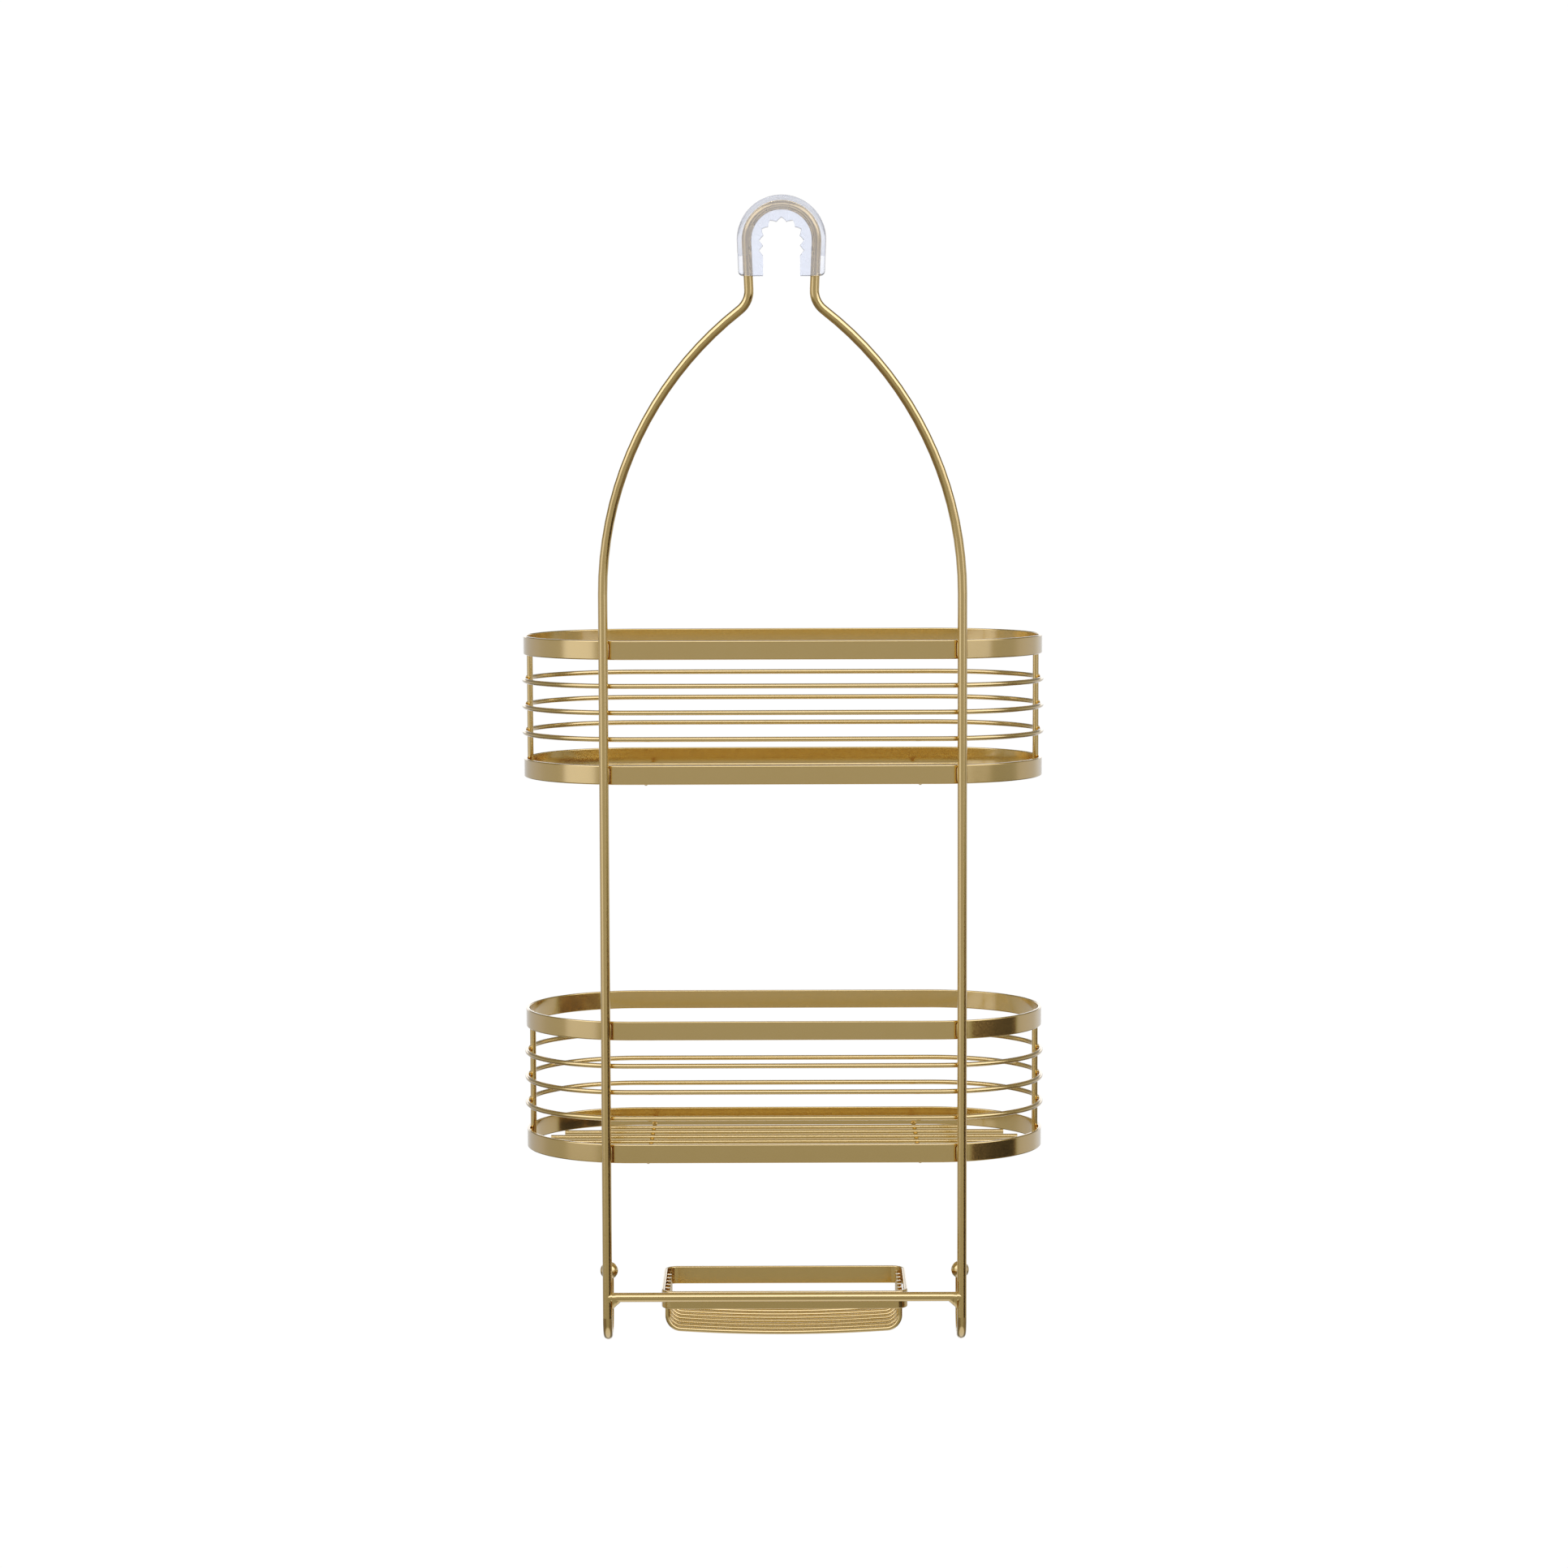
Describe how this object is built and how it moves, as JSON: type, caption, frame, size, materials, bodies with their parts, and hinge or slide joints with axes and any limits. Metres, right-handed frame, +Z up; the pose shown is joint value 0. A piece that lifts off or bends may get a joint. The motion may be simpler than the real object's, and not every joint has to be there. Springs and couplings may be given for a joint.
{
  "type": "hanging shower caddy",
  "caption": "Hanging wire shower caddy: an arch that hooks over the shower arm, pill-shaped wire baskets, a wire soap dish and ball-tipped end hooks.",
  "frame": {"origin": "on the axis of the shower arm that the caddy hangs from, in the plane of the frame wire", "axes": "+Z up, +X to the right seen from the wall side, +Y from the wall side towards the person; the baskets stand out along +Y"},
  "size_m": [0.3058, 0.1382, 0.6588],
  "materials": {
    "brass_finish": "satin brass-gold lacquer on bent and welded steel wire and flat bar",
    "soft_grip": "soft translucent bluish-clear silicone"
  },
  "bodies": {
    "root": {"frame_wire": "brass_finish", "arm_grip": "soft_grip", "crossbar": "brass_finish", "hook_ball_left": "brass_finish", "hook_ball_right": "brass_finish", "upper_basket_top_band": "brass_finish", "upper_basket_bottom_band": "brass_finish", "upper_basket_ring_1": "brass_finish", "upper_basket_ring_2": "brass_finish", "upper_basket_ring_3": "brass_finish", "upper_basket_floor_wire_1": "brass_finish", "upper_basket_floor_wire_2": "brass_finish", "upper_basket_floor_wire_3": "brass_finish", "upper_basket_floor_wire_4": "brass_finish", "upper_basket_floor_wire_5": "brass_finish", "upper_basket_floor_wire_6": "brass_finish", "upper_basket_end_post_left": "brass_finish", "upper_basket_floor_support_left": "brass_finish", "upper_basket_end_post_right": "brass_finish", "upper_basket_floor_support_right": "brass_finish", "lower_basket_top_band": "brass_finish", "lower_basket_bottom_band": "brass_finish", "lower_basket_ring_1": "brass_finish", "lower_basket_ring_2": "brass_finish", "lower_basket_ring_3": "brass_finish", "lower_basket_floor_wire_1": "brass_finish", "lower_basket_floor_wire_2": "brass_finish", "lower_basket_floor_wire_3": "brass_finish", "lower_basket_floor_wire_4": "brass_finish", "lower_basket_floor_wire_5": "brass_finish", "lower_basket_floor_wire_6": "brass_finish", "lower_basket_end_post_left": "brass_finish", "lower_basket_floor_support_left": "brass_finish", "lower_basket_end_post_right": "brass_finish", "lower_basket_floor_support_right": "brass_finish", "soap_dish_rim": "brass_finish", "soap_dish_wire_1": "brass_finish", "soap_dish_wire_2": "brass_finish", "soap_dish_wire_3": "brass_finish", "soap_dish_wire_4": "brass_finish", "soap_dish_wire_5": "brass_finish", "soap_dish_wire_6": "brass_finish", "soap_dish_wire_7": "brass_finish"}
  },
  "joints": []
}
